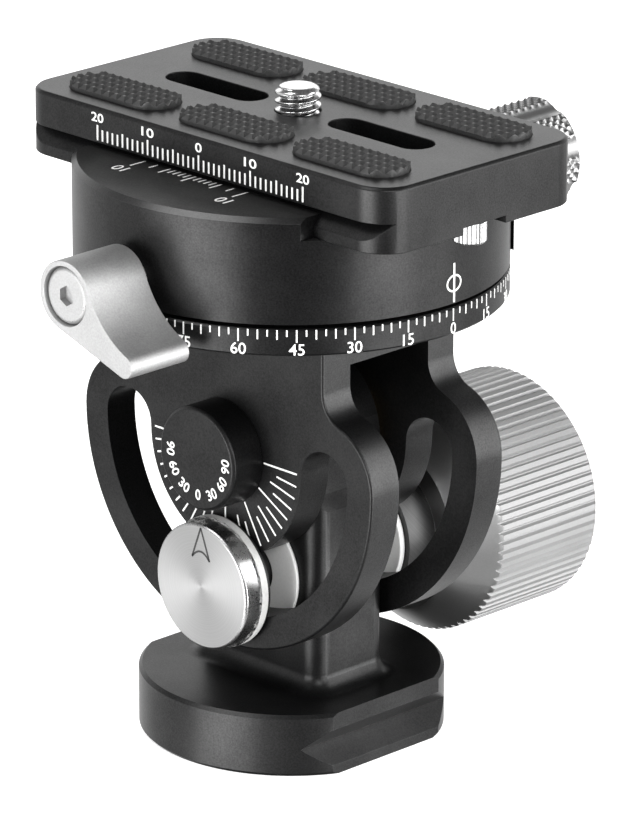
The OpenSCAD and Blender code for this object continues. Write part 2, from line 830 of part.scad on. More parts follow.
// Helical spring on the clamp screw, swept as rings of points along its coil
module jaw_spring() {
    rings = 8;
    sides = 6;
    count = rings * spring_turns;
    mid_r = spring_r - wire_d / 2;
    wire_r = wire_d / 2;
    points = [for (i = [0:count], k = [0:sides - 1])
        let (a = i * 360 / rings, b = k * 360 / sides, r = mid_r + wire_r * cos(b))
        [r * cos(a), r * sin(a), wire_r + spring_pitch * i / rings + wire_r * sin(b)]];
    walls = [for (i = [0:count - 1], k = [0:sides - 1])
        let (n = (k + 1) % sides, a = i * sides, b = a + sides)
        each [[a + k, b + k, b + n], [a + k, b + n, a + n]]];
    caps = [for (k = [1:sides - 2])
        each [[0, k, k + 1], [count * sides, count * sides + k + 1, count * sides + k]]];
    color(steel) translate([0, spring_start, clamp_z]) rotate([-90, 0, 0])
        polyhedron(points, concat(walls, caps));
}

module guide_pins() {
    color(steel) pin_places()
        bar_y(pin_d, clamp_z, jaw_split - pin_in_drum, jaw_face + pin_in_jaw);
}

module clamp_screw() {
    color(steel) bar_y(clamp_screw_d, clamp_z, clamp_tip, clamp_knob_y + clamp_knob_l / 2);
}

module clamp_washer() {
    color(white) washer_y(clamp_washer_d, clamp_screw_d + 2 * run_gap, clamp_z,
                          clamp_seat, clamp_seat + clamp_washer_t);
}

// Small knob: plain neck, bevel and a grip with smooth flutes
module clamp_knob() {
    r = clamp_knob_d / 2;
    grip = clamp_knob_y + clamp_neck_l;
    end = clamp_knob_y + clamp_knob_l;
    e = 0.7;
    flute_at = r - flute_depth + flute_r;
    color(silver) difference() {
        turned_y(clamp_z, [[0, clamp_knob_y], [clamp_neck_d / 2, clamp_knob_y], [clamp_neck_d / 2, grip],
                           [r - clamp_bevel, grip], [r, grip + clamp_bevel], [r, end - e], [r - e, end],
                           [0, end]]);
        for (i = [0:flute_count - 1]) translate([0, 0, clamp_z])
            rotate([0, flute_turn + i * 360 / flute_count, 0]) translate([0, 0, flute_at])
                bar_y(2 * flute_r, 0, grip - past, end - 2 * e);
        bar_y(clamp_screw_d + 2 * fit_gap, clamp_z, clamp_knob_y - past,
              clamp_knob_y + clamp_knob_l / 2 + side_gap);
    }
}

// Section of the plate: top flange, 45 degree dovetail groove and lower lip
module plate_section() {
    half = plate_w / 2;
    neck = half - dovetail_depth;
    z1 = floor_z + dovetail_lip;
    z2 = z1 + dovetail_depth;
    translate([plate_off, 0])
        polygon([[-half, floor_z], [half, floor_z], [half, z1], [neck, z2], [half, z2],
                 [half, plate_top], [-half, plate_top], [-half, z2], [-neck, z2], [-half, z1]]);
}

// Cutter for the edge break round the plate's top face
module plate_edge_cut() {
    r = plate_corner;
    straight_x = plate_l - 2 * r;
    straight_y = plate_w - 2 * r;
    translate([0, plate_off, plate_top]) {
        for (side = [0, 1]) mirror([side, 0, 0])
            translate([plate_l / 2, straight_y / 2, 0]) rotate([90, 0, 0])
                linear_extrude(straight_y) edge_wedge();
        for (side = [0, 1]) mirror([0, side, 0])
            translate([-straight_x / 2, plate_w / 2, 0]) rotate([90, 0, 90])
                linear_extrude(straight_x) edge_wedge();
        for (sx = [0, 1], sy = [0, 1]) mirror([sx, 0, 0]) mirror([0, sy, 0])
            translate([straight_x / 2, straight_y / 2, 0])
                rotate_extrude(angle = 90) translate([r, 0]) edge_wedge();
    }
}

// Triangle that takes an edge off at 45 degrees
module edge_wedge() {
    e = plate_edge;
    polygon([[-e - join, join], [join, join], [join, -e - join]]);
}

module slot_places() {
    for (s = [-1, 1]) translate([s * plate_slot_x, plate_off, 0]) children();
}

module stop_places() {
    for (s = [-1, 1]) translate([s * (plate_l / 2 - stop_inset), plate_off, 0]) children();
}

module pad_places() {
    for (i = [-1:1], s = [-1, 1])
        translate([i * pad_pitch_x, plate_off + s * pad_pitch_y / 2, 0]) children();
}

module plate() {
    head_room = under_depth + camera_head_t;
    color(black) difference() {
        intersection() {
            along_x(plate_l + past) plate_section();
            translate([0, plate_off, floor_z]) linear_extrude(plate_t)
                rounded_square(plate_l, plate_w, plate_corner);
        }
        plate_edge_cut();
        slot_places() translate([0, 0, floor_z - past])
            linear_extrude(plate_t + 2 * past) obround(plate_slot_l, plate_slot_w);
        translate([-plate_l, plate_off - under_w / 2, floor_z - past])
            cube([2 * plate_l, under_w, under_depth + past]);
        pad_places() translate([0, 0, plate_top - pad_pocket])
            linear_extrude(pad_pocket + past) obround(pad_l + 2 * fit_gap, pad_w + 2 * fit_gap);
        translate([0, plate_off, floor_z - past]) {
            cylinder(d = camera_d + 2 * run_gap, h = plate_t + 2 * past);
            cylinder(d = camera_head_d + 2 * free_gap, h = head_room + past);
        }
        stop_places() translate([0, 0, floor_z - past])
            cylinder(d = screw_d + 2 * fit_gap, h = under_depth + stop_depth + side_gap + past);
    }
}

// V grooves side by side along Y, with a stud on the middle line, over a width
module stud_grooves(width) {
    reach = (stud_pitch - stud_top) / 2;
    last = ceil(width / (2 * stud_pitch) - 0.5) - 1;
    for (i = [0:last], s = [-1, 1])
        along_y(-pad_l, pad_l) translate([s * (i + 0.5) * stud_pitch, pad_pocket + pad_h])
            polygon([[0, -stud_h], [2 * reach, stud_h], [-2 * reach, stud_h]]);
}

// Rubber pads, cut into rows of square studs
module pads() {
    color("#1b1b1c") pad_places() translate([0, 0, plate_top - pad_pocket]) difference() {
        linear_extrude(pad_pocket + pad_h) obround(pad_l, pad_w);
        stud_grooves(pad_l);
        rotate(90) stud_grooves(pad_w);
    }
}

// Screw with a flat coin-slot head under the plate
module camera_screw() {
    top = plate_top + camera_h;
    head_top = floor_z + under_depth + camera_head_t - side_gap;
    head_bottom = head_top - camera_head_t + free_gap;
    r = camera_d / 2;
    relief_r = camera_relief_d / 2;
    e = 0.6;
    coin_w = 1.6;
    coin_depth = 1.2;
    color(steel) translate([0, plate_off, 0]) difference() {
        rotate_extrude()
            polygon([[0, head_bottom], [camera_head_d / 2, head_bottom], [camera_head_d / 2, head_top],
                     [r, head_top], [r, plate_top - camera_relief], [relief_r, plate_top - camera_relief],
                     [relief_r, plate_top], [r, plate_top], [r, top - e], [r - e, top], [0, top]]);
        translate([-camera_head_d, -coin_w / 2, head_bottom - past])
            cube([2 * camera_head_d, coin_w, coin_depth + past]);
    }
}

module stop_screws() {
    key_d = 2.9;
    key_depth = 1.5;
    color(silver) stop_places() difference() {
        union() {
            translate([0, 0, stop_seat - stop_head_h]) cylinder(d = stop_head_d, h = stop_head_h);
            translate([0, 0, stop_seat - join]) cylinder(d = screw_d, h = stop_depth + join);
        }
        translate([0, 0, stop_seat - stop_head_h - past]) cylinder(d = key_d, h = key_depth + past, $fn = 6);
    }
}

base();
tilt_bushes();
lock_bolt();
pointer_disc();
pointer_washer();
inner_washers();
outer_washer();
tilt_knob();
knob_insert();
fork();
pivot_axle();
pivot_cap();
pivot_nut();
friction_ring();
pan_retainer();
retainer_screws();
pan_drum();
brake_shoe();
lever_stud();
pan_lever();
lever_screw();
moving_jaw();
jaw_spring();
guide_pins();
clamp_screw();
clamp_washer();
clamp_knob();
plate();
pads();
camera_screw();
stop_screws();
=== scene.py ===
"""Looks of a monopod tilt and pan head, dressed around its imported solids."""

import math

import bpy
import numpy as np
from mathutils import Matrix, Vector


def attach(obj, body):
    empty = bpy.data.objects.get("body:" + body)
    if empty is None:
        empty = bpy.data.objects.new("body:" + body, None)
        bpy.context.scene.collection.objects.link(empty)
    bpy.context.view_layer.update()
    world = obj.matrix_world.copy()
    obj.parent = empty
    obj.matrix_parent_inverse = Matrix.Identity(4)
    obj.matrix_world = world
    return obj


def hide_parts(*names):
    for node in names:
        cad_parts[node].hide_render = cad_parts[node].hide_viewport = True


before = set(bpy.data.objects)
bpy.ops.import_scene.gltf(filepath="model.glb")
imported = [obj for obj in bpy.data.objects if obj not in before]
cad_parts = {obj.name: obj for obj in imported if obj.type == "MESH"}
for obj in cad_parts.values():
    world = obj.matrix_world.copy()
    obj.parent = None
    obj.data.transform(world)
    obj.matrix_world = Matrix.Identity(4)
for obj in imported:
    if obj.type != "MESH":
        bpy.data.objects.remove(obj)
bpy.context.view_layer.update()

MM = 0.001

# In millimetres: how far printed marks stand out, how thick they are, and what counts as one place
INK = 0.025
MARK_THICK = 3 * INK
SAME_POINT = 0.001
SAME_LEVEL = 0.05

# Places in millimetres, as the solids have them
DRUM_R = 30.0
DRUM_TOP = 83.0
DRUM_UPPER = 80.0
CHEEK_Y = -12.7
CHEEK_RIM_R = 24.8
CHEEK_SHOULDER_Z = 50.0
CROWN_Z = 63.0
PIVOT = (0.0, 43.3)
CAP_Y = -18.2
POINTER_Z = 24.5
POINTER_Y = -17.4
DISC_STEP_Y = -15.3
DISC_RING_Y = -14.73
KNOB_GRIP_Y = 24.8
KNOB_NOSE_Y = 18.9
FOOT_TOP = 9.0
COLUMN_REACH = 17.0
PLATE_Y = -17.7
PLATE_MID = 1.25
CLAMP_Z = 73.0
LEVER_Z = 72.1
LEVER_FACE_Y = -40.0
LEVER_SCREW_RIM = 3.5
MIDDLE_Z = 45.0

# The part of an effect's shade that a finish spreads over its two ends
SHADE_LOW, SHADE_HIGH = 0.3, 0.7


# Small steps that every piece uses


def pick(*pieces):
    """Selects these pieces alone, the first of them active."""
    bpy.ops.object.select_all(action="DESELECT")
    for piece in pieces:
        piece.select_set(True)
    bpy.context.view_layer.objects.active = pieces[0]


def open_mesh(piece):
    """Edit mode with everything selected."""
    pick(piece)
    bpy.ops.object.mode_set(mode="EDIT")
    bpy.ops.mesh.select_all(action="SELECT")


def close_mesh():
    bpy.ops.object.mode_set(mode="OBJECT")


def open_edges(piece, wanted):
    """Edit mode with the edges selected whose two ends and face normals are wanted."""
    open_mesh(piece)
    bpy.ops.mesh.select_mode(type="EDGE")
    bpy.ops.mesh.select_all(action="DESELECT")
    close_mesh()
    normals = {}
    for face in piece.data.polygons:
        for key in face.edge_keys:
            normals.setdefault(key, []).append(face.normal)
    points = [vert.co / MM for vert in piece.data.vertices]
    for edge in piece.data.edges:
        ends = [points[i] for i in edge.vertices]
        edge.select = bool(wanted(*ends, normals.get(edge.key, [])))
    bpy.ops.object.mode_set(mode="EDIT")


def tool(piece, kind, **values):
    """Adds a modifier with these values and applies it."""
    pick(piece)
    step = piece.modifiers.new(kind.lower(), kind)
    for key, value in values.items():
        setattr(step, key, value)
    bpy.ops.object.modifier_apply(modifier=step.name)


def named(name):
    """The piece that an operator has just added, with its own name."""
    piece = bpy.context.object
    piece.name = piece.data.name = name
    return piece


def added(adder, name, **values):
    """What this operator adds, with its own name."""
    bpy.ops.object.select_all(action="DESELECT")
    adder(**values)
    return named(name)


def twin(source, name):
    """A copy with its own mesh, in the same place."""
    piece = bpy.data.objects.new(name, source.data.copy())
    bpy.context.scene.collection.objects.link(piece)
    return piece


def joined(pieces, name):
    pick(*pieces)
    if len(pieces) > 1:
        bpy.ops.object.join()
    return named(name)


def settle(piece):
    """Puts the piece's place into its mesh."""
    pick(piece)
    bpy.ops.object.transform_apply(location=True, rotation=True, scale=True)


def outward(piece):
    """Merges the points that meet and turns every face outwards."""
    open_mesh(piece)
    bpy.ops.mesh.remove_doubles(threshold=SAME_POINT * MM)
    bpy.ops.mesh.normals_make_consistent(inside=False)
    close_mesh()


def reshape(piece, rule):
    """Moves every point by a rule on arrays of x, y, z in millimetres."""
    points = np.zeros(len(piece.data.vertices) * 3)
    piece.data.vertices.foreach_get("co", points)
    x, y, z = rule(*(points.reshape(-1, 3).T / MM))
    piece.data.vertices.foreach_set("co", (np.stack([x, y, z], 1) * MM).ravel())
    piece.data.update()


def soften(piece, angle):
    """Smooth shading, apart from edges sharper than this angle."""
    pick(piece)
    bpy.ops.object.shade_smooth_by_angle(angle=math.radians(angle))


def cut(piece, place, axis, drop):
    """Cuts the piece across an axis at this place in millimetres, closes it and drops one side."""
    open_mesh(piece)
    bpy.ops.mesh.bisect(
        plane_co=[part * place * MM for part in axis],
        plane_no=axis,
        use_fill=True,
        **{drop: True},
    )
    close_mesh()


def machined(node, name, edge, eased=None):
    """A copy of a solid with its edges broken, as a machined part has them, some eased wider."""
    flat_angle, sharp_angle = math.radians(0.4), math.radians(28)
    piece = twin(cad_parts[node], name)
    open_mesh(piece)
    bpy.ops.mesh.customdata_custom_splitnormals_clear()
    bpy.ops.mesh.remove_doubles(threshold=SAME_POINT * MM)
    bpy.ops.mesh.dissolve_limited(angle_limit=flat_angle)
    close_mesh()
    if eased:
        wide, wanted = eased
        open_edges(piece, lambda a, b, sides: len(sides) == 2 and wanted(a, b, *sides))
        bpy.ops.mesh.bevel(offset=wide * MM, segments=5, affect="EDGES", clamp_overlap=False)
        close_mesh()
    tool(
        piece,
        "BEVEL",
        width=edge * MM,
        segments=3,
        limit_method="ANGLE",
        angle_limit=sharp_angle,
        use_clamp_overlap=True,
    )
    pick(piece)
    bpy.ops.object.shade_smooth()
    tool(piece, "WEIGHTED_NORMAL", weight=60, keep_sharp=False)
    return piece


def dress(piece, body, slot, look, *nodes):
    """Finish, body and the solids that the piece stands for. The slot is not used."""
    piece.data.materials.clear()
    piece.data.materials.append(look)
    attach(piece, body)
    if nodes:
        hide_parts(*nodes)
    return piece


# Shader groups


def new_group(name, inputs, outputs):
    """A shader group with these sockets: the group, what it is given and what it puts out."""
    group = bpy.data.node_groups.new(name, "ShaderNodeTree")
    for label, kind, value in inputs:
        socket = group.interface.new_socket(name=label, in_out="INPUT", socket_type=kind)
        if value is not None:
            socket.default_value = value
    for label in outputs:
        group.interface.new_socket(name=label, in_out="OUTPUT", socket_type="NodeSocketFloat")
    return (
        group,
        group.nodes.new("NodeGroupInput").outputs,
        group.nodes.new("NodeGroupOutput").inputs,
    )


def math_node(tree, operation, first, second=None):
    """A Math node on two sockets or numbers."""
    node = tree.nodes.new("ShaderNodeMath")
    node.operation = operation
    for socket, value in zip(node.inputs, (first, second)):
        if isinstance(value, (int, float)):
            socket.default_value = value
        elif value is not None:
            tree.links.new(value, socket)
    return node.outputs[0]


def noise(tree, vector, scale, detail, rough):
    """A Noise node on a vector, its scale a socket or a number."""
    node = tree.nodes.new("ShaderNodeTexNoise")
    node.inputs["Detail"].default_value = detail
    node.inputs["Roughness"].default_value = rough
    if isinstance(scale, (int, float)):
        node.inputs["Scale"].default_value = scale
    else:
        tree.links.new(scale, node.inputs["Scale"])
    tree.links.new(vector, node.inputs["Vector"])
    return node.outputs[0]


def blasted_grain():
    """Fine blasted grain, and the slow cloudiness of an anodised skin."""
    group, given, out = new_group(
        "blasted_grain",
        [
            ("Vector", "NodeSocketVector", None),
            ("Grain", "NodeSocketFloat", 5200.0),
            ("Cloud", "NodeSocketFloat", 90.0),
        ],
        ["Height", "Shade"],
    )
    fine = noise(group, given["Vector"], given["Grain"], 3.0, 0.6)
    slow = noise(group, given["Vector"], given["Cloud"], 4.0, 0.55)
    group.links.new(fine, out["Height"])
    fine_share = math_node(group, "MULTIPLY", fine, 0.55)
    slow_share = math_node(group, "MULTIPLY", slow, 0.45)
    group.links.new(math_node(group, "ADD", fine_share, slow_share), out["Shade"])
    return group


def turned_lines():
    """Tool lines round the z axis of the vector: rings on a face, hoops on a side."""
    group, given, out = new_group(
        "turned_lines",
        [("Vector", "NodeSocketVector", None), ("Lines", "NodeSocketFloat", 4000.0)],
        ["Height", "Shade"],
    )
    parts = group.nodes.new("ShaderNodeSeparateXYZ")
    group.links.new(given["Vector"], parts.inputs[0])
    x, y, z = parts.outputs
    square_x, square_y = (math_node(group, "MULTIPLY", part, part) for part in (x, y))
    radius = math_node(group, "SQRT", math_node(group, "ADD", square_x, square_y))
    reach = math_node(group, "ADD", radius, math_node(group, "MULTIPLY", z, 0.83))
    place = math_node(group, "MULTIPLY", reach, given["Lines"])
    for label, detail in (("Height", 2.0), ("Shade", 4.0)):
        lines = group.nodes.new("ShaderNodeTexNoise")
        lines.noise_dimensions = "1D"
        lines.inputs["Detail"].default_value = detail
        lines.inputs["Scale"].default_value = 1.0
        group.links.new(place, lines.inputs["W"])
        group.links.new(lines.outputs[0], out[label])
    return group


def sparse_specks():
    """Scattered fine specks, as in rubber, moulded plastic and ink."""
    group, given, out = new_group(
        "sparse_specks",
        [("Vector", "NodeSocketVector", None), ("Specks", "NodeSocketFloat", 2600.0)],
        ["Height", "Shade"],
    )
    cells = group.nodes.new("ShaderNodeTexVoronoi")
    group.links.new(given["Vector"], cells.inputs["Vector"])
    group.links.new(given["Specks"], cells.inputs["Scale"])
    group.links.new(cells.outputs["Distance"], out["Height"])
    blur = noise(group, given["Vector"], 700.0, 4.0, 0.6)
    cell_share = math_node(group, "MULTIPLY", cells.outputs["Distance"], 0.6)
    blur_share = math_node(group, "MULTIPLY", blur, 0.6)
    group.links.new(math_node(group, "ADD", cell_share, blur_share), out["Shade"])
    return group


GRAIN = blasted_grain()
TURNED = turned_lines()
SPECKS = sparse_specks()


# Materials


def finish(
    name,
    dark,
    light,
    rough,
    effect,
    setting,
    bump,
    metallic=0.0,
    axis=None,
    skin=None,
    **constants,
):
    """A Principled finish.

    The effect's shade runs colour, roughness and clear skin, and its height runs the bump.
    """
    material = bpy.data.materials.new(name)
    material.use_nodes = True
    tree = material.node_tree
    shader = tree.nodes["Principled BSDF"]
    shader.inputs["Metallic"].default_value = metallic
    for key, value in constants.items():
        shader.inputs[key.replace("_", " ")].default_value = value
    place = tree.nodes.new("ShaderNodeTexCoord").outputs["Object"]
    if axis:
        point, turns = axis
        mapping = tree.nodes.new("ShaderNodeMapping")
        mapping.vector_type = "TEXTURE"
        mapping.inputs["Location"].default_value = [part * MM for part in point]
        mapping.inputs["Rotation"].default_value = [math.radians(turn) for turn in turns]
        tree.links.new(place, mapping.inputs["Vector"])
        place = mapping.outputs["Vector"]
    group = tree.nodes.new("ShaderNodeGroup")
    group.node_tree = effect
    tree.links.new(place, group.inputs["Vector"])
    group.inputs[1].default_value = setting
    ramp = tree.nodes.new("ShaderNodeValToRGB")
    for stop, at, colour in zip(ramp.color_ramp.elements, (SHADE_LOW, SHADE_HIGH), (dark, light)):
        stop.position = at
        stop.color = (*colour, 1)
    tree.links.new(group.outputs["Shade"], ramp.inputs["Fac"])
    tree.links.new(ramp.outputs["Color"], shader.inputs["Base Color"])
    for label, limits in (("Roughness", rough), ("Coat Weight", skin)):
        if limits:
            spread = tree.nodes.new("ShaderNodeMapRange")
            spread.inputs["From Min"].default_value = SHADE_LOW
            spread.inputs["From Max"].default_value = SHADE_HIGH
            spread.inputs["To Min"].default_value = limits[0]
            spread.inputs["To Max"].default_value = limits[1]
            tree.links.new(group.outputs["Shade"], spread.inputs["Value"])
            tree.links.new(spread.outputs["Result"], shader.inputs[label])
    strength, depth = bump
    relief = tree.nodes.new("ShaderNodeBump")
    relief.inputs["Strength"].default_value = strength
    relief.inputs["Distance"].default_value = depth * MM
    tree.links.new(group.outputs["Height"], relief.inputs["Height"])
    tree.links.new(relief.outputs["Normal"], shader.inputs["Normal"])
    return material


def grey(value):
    return (value, value, value)


def black(name, rough, bump, skin, skin_rough, specular):
    """A black anodised finish, with next to no colour of its own under a patchy clear skin."""
    return finish(
        name,
        (0.0016, 0.0016, 0.0017),
        (0.0030, 0.0030, 0.0032),
        rough,
        GRAIN,
        FINE_GRAIN,
        (bump, 0.05),
        skin=skin,
        Coat_Roughness=skin_rough,
        Specular_IOR_Level=specular,
    )


def metal(name, dark, light, rough, effect, setting, bump, **more):
    """A bare metal finish between two greys."""
    return finish(
        name, grey(dark), grey(light), rough, effect, setting, bump, metallic=1.0, **more
    )


def spin(look):
    """Stretches the finish's highlights round the Y axis."""
    tree = look.node_tree
    tangent = tree.nodes.new("ShaderNodeTangent")
    tangent.direction_type = "RADIAL"
    tangent.axis = "Y"
    tree.links.new(tangent.outputs["Tangent"], tree.nodes["Principled BSDF"].inputs["Tangent"])


# The effects' settings: grains, specks or tool lines in a metre
FINE_GRAIN, COARSE_GRAIN = 4200.0, 3600.0
MOULDED, CAST, PRINTED = 2600.0, 3400.0, 5200.0
TOOLED, FINE_TOOLED, SPUN = 5000.0, 6000.0, 9000.0

black_anodised = black("black_anodised", (0.34, 0.41), 0.28, (0.0, 0.52), 0.38, 0.14)
turned_black = black("turned_black", (0.30, 0.36), 0.24, (0.0, 0.52), 0.33, 0.13)
# A more reflective copy of the anodised black: painted sheen for faces that are to look lit
sheen_painted_black = black("sheen_painted_black", (0.34, 0.41), 0.28, (0.0, 0.72), 0.38, 0.24)
# A far more reflective black for the drum's top chamfer: a painted highlight along that edge
highlight_painted_black = black("highlight_painted_black", (0.28, 0.34), 0.10, (0.1, 0.7), 0.3, 0.5)
# A rougher black with a lighter colour: painted light for the drum's top faces
top_light_painted_black = finish(
    "top_light_painted_black",
    grey(0.013),
    grey(0.020),
    (0.48, 0.56),
    GRAIN,
    FINE_GRAIN,
    (0.28, 0.05),
    skin=(0.0, 0.56),
    Coat_Roughness=0.52,
    Specular_IOR_Level=0.16,
)
foot_black = black("foot_black", (0.32, 0.38), 0.24, (0.0, 0.64), 0.35, 0.18)

silver_anodised = metal(
    "silver_anodised", 0.33, 0.39, (0.62, 0.70), GRAIN, FINE_GRAIN, (0.12, 0.03)
)
blasted_silver = metal(
    "blasted_silver", 0.34, 0.51, (0.55, 0.63), GRAIN, COARSE_GRAIN, (0.40, 0.06)
)
bright_aluminium = metal(
    "bright_aluminium", 0.25, 0.31, (0.32, 0.42), GRAIN, FINE_GRAIN, (0.08, 0.03)
)
spun_steel = metal(
    "spun_steel",
    0.40,
    0.46,
    (0.32, 0.37),
    TURNED,
    SPUN,
    (0.05, 0.02),
    axis=((0, 0, POINTER_Z), (90, 0, 0)),
    Anisotropic=0.45,
    Anisotropic_Rotation=0.25,
)
spin(spun_steel)
turned_steel = metal("turned_steel", 0.40, 0.48, (0.25, 0.31), GRAIN, FINE_GRAIN, (0.02, 0.02))
polished_steel = metal(
    "polished_steel", 0.52, 0.66, (0.13, 0.22), TURNED, FINE_TOOLED, (0.05, 0.02)
)
dark_steel = metal("dark_steel", 0.05, 0.07, (0.34, 0.44), TURNED, TOOLED, (0.06, 0.02))
turned_silver = metal("turned_silver", 0.38, 0.44, (0.29, 0.35), GRAIN, FINE_GRAIN, (0.10, 0.03))
plain_steel = metal("plain_steel", 0.40, 0.52, (0.24, 0.36), TURNED, TOOLED, (0.08, 0.02))
brass = finish(
    "brass",
    (0.55, 0.38, 0.15),
    (0.66, 0.47, 0.20),
    (0.22, 0.34),
    TURNED,
    TOOLED,
    (0.08, 0.02),
    metallic=1.0,
)

ivory_plastic = finish(
    "ivory_plastic",
    (0.58, 0.58, 0.57),
    (0.64, 0.64, 0.63),
    (0.30, 0.42),
    SPECKS,
    MOULDED,
    (0.03, 0.02),
)
white_plastic = finish(
    "white_plastic",
    (0.86, 0.86, 0.85),
    (0.91, 0.91, 0.90),
    (0.30, 0.42),
    SPECKS,
    MOULDED,
    (0.03, 0.02),
)
black_plastic = finish(
    "black_plastic",
    grey(0.010),
    grey(0.016),
    (0.42, 0.55),
    SPECKS,
    MOULDED,
    (0.05, 0.02),
    Specular_IOR_Level=0.4,
)
rubber = finish(
    "rubber",
    grey(0.010),
    grey(0.018),
    (0.40, 0.52),
    SPECKS,
    CAST,
    (0.16, 0.03),
    Specular_IOR_Level=0.7,
)
white_ink = finish(
    "white_ink",
    (0.70, 0.70, 0.69),
    (0.80, 0.80, 0.79),
    (0.45, 0.6),
    SPECKS,
    PRINTED,
    (0.04, 0.01),
)
grey_etch = finish(
    "grey_etch", grey(0.012), grey(0.022), (0.5, 0.62), SPECKS, PRINTED, (0.04, 0.01)
)


# Machined pieces


def beside_slots(place):
    """Whether a place is round the outside of the fork's cheeks, and not in their slots."""
    reach = math.hypot(place.x - PIVOT[0], place.z - PIVOT[1])
    return reach > CHEEK_RIM_R or place.z > CHEEK_SHOULDER_Z


def cheek_rim(a, b, m, n):
    """The outer edges of the fork's cheeks, where their faces meet the sides."""
    middle = (a + b) / 2
    on_face = middle.z < CROWN_Z and abs(middle.y) > abs(CHEEK_Y) - SAME_LEVEL
    flat, side = max(abs(m.y), abs(n.y)), min(abs(m.y), abs(n.y))
    return beside_slots(middle) and on_face and flat > 0.9 and side < 0.3


def drum_rim(a, b, m, n):
    """The drum's top edge."""
    middle = (a + b) / 2
    at_top = min(a.z, b.z) > DRUM_TOP - SAME_LEVEL
    return at_top and math.hypot(middle.x, middle.y) > DRUM_R - 0.2


def column_foot(a, b, m, n):
    """The corner between the column and the foot's top."""
    level = max(abs(a.z - FOOT_TOP), abs(b.z - FOOT_TOP)) < SAME_LEVEL
    near = max(math.hypot(*a.xy), math.hypot(*b.xy)) < COLUMN_REACH
    return level and near and min(abs(m.z), abs(n.z)) < 0.3


def screw_rim(a, b, m, n):
    """The outer edge of the lever screw's face."""
    middle = (a + b) / 2
    reach = math.hypot(middle.x, middle.z - LEVER_Z)
    return max(a.y, b.y) < LEVER_FACE_Y and reach > LEVER_SCREW_RIM


def repaint(piece, look, wanted):
    """One more finish, on the faces whose middle and normal are wanted."""
    piece.data.materials.append(look)
    for face in piece.data.polygons:
        if wanted(face.center / MM, face.normal):
            face.material_index = len(piece.data.materials) - 1


def dress_machined():
    """The solids whose shape is right, with broken edges and their finish."""
    rows = [
        ("base", "foot_and_column", 0.2, "base", "black_anodised", foot_black),
        ("fork", "slotted_fork", 0.2, "fork", "black_anodised", black_anodised),
        ("pan_drum", "turning_drum", 0.15, "drum", "black_anodised", turned_black),
        ("moving_jaw", "clamp_jaw", 0.15, "jaw", "black_anodised", black_anodised),
        ("plate", "camera_plate", 0.15, "drum", "black_anodised", black_anodised),
        ("pivot_cap", "angle_cap", 0.15, "fork", "black_anodised", black_anodised),
        ("pan_lever", "lock_lever", 0.3, "pan_lever", "silver_anodised", blasted_silver),
        ("lever_screw", "lever_end_screw", 0.3, "pan_lever", "steel", blasted_silver),
        ("tilt_knob", "ridged_knob", 0.07, "tilt_knob", "silver_anodised", silver_anodised),
        ("inner_washers", "slot_washers", 0.2, "base", "white_plastic", white_plastic),
        ("outer_washer", "knob_washer", 0.2, "lock_washer", "white_plastic", white_plastic),
        ("pointer_washer", "disc_washer", 0.1, "base", "black_plastic", black_plastic),
        ("pads", "plate_pads", 0.1, "drum", "rubber", rubber),
    ]
    eased = {
        "base": (2.0, column_foot),
        "fork": (0.4, cheek_rim),
        "pan_drum": (0.3, drum_rim),
        "lever_screw": (0.75, screw_rim),
    }
    made = {}
    for node, name, edge, body, slot, look in rows:
        piece = machined(node, name, edge, eased.get(node))
        made[node] = dress(piece, body, slot, look, node)

    def cheek_side(at, way):
        return beside_slots(at) and at.z < CROWN_Z - 1 and abs(way.y) < 0.5

    repaint(made["base"], black_anodised, lambda at, way: way.z > 0.9 or at.z > FOOT_TOP)
    # The column's faces that look along +X get the sheen black, painted sheen that makes them
    # lighter than the rest
    repaint(made["base"], sheen_painted_black, lambda at, way: way.x > 0.96 and at.z > FOOT_TOP)
    # The drum's top faces get the lighter black, painted light on the faces that look up
    repaint(made["pan_drum"], top_light_painted_black, lambda at, way: way.z > 0.9)
    # The drum's top chamfer takes the highlight black, a painted highlight that shows the edge as
    # a bright line
    repaint(made["pan_drum"], highlight_painted_black, lambda at, way: 0.3 < way.z < 0.9 and at.z > DRUM_UPPER)
    # The cheeks' sides get the sheen black, painted sheen that makes them lighter than the cheeks'
    # faces
    repaint(made["fork"], sheen_painted_black, cheek_side)
    repaint(made["tilt_knob"], turned_silver, lambda at, way: at.y < KNOB_GRIP_Y)
    # The knob's nose between the cheeks is made near-black: painted shade in place of the silver
    repaint(made["tilt_knob"], dark_steel, lambda at, way: at.y < KNOB_NOSE_Y)


def dress_disc():
    """The bolt's steel head with its arrow face, on a pale plastic ring."""
    step_slack, step_back = 0.25, 0.6
    disc = machined("pointer_disc", "arrow_disc", 0.12)

    def step_moved(x, y, z):
        return x, np.where(np.abs(y - DISC_STEP_Y) < step_slack, y + step_back, y), z

    reshape(disc, step_moved)
    ring = twin(disc, "disc_ring")
    for piece, drop in ((disc, "clear_outer"), (ring, "clear_inner")):
        cut(piece, DISC_RING_Y, (0, 1, 0), drop)
        open_mesh(piece)
        bpy.ops.mesh.customdata_custom_splitnormals_clear()
        close_mesh()
        soften(piece, 40)
        tool(piece, "WEIGHTED_NORMAL", weight=60, keep_sharp=True)
    dress(disc, "base", "brushed_steel", turned_steel, "pointer_disc")
    repaint(disc, spun_steel, lambda at, way: way.y < -0.98)
    dress(ring, "base", "white_plastic", ivory_plastic)


def dress_plain():
    """The solids that stay, mostly inside, get their finish."""
    rows = {
        "tilt_bushes": brass,
        "lock_bolt": dark_steel,
        "knob_insert": brass,
        "pivot_axle": plain_steel,
        "pivot_nut": plain_steel,
        "friction_ring": black_plastic,
        "pan_retainer": plain_steel,
        "retainer_screws": plain_steel,
        "brake_shoe": brass,
        "lever_stud": plain_steel,
        "jaw_spring": plain_steel,
        "guide_pins": plain_steel,
        "clamp_screw": plain_steel,
        "clamp_washer": plain_steel,
    }
    for node, look in rows.items():
        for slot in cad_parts[node].material_slots:
            slot.material = look


# Turned pieces with a worked surface


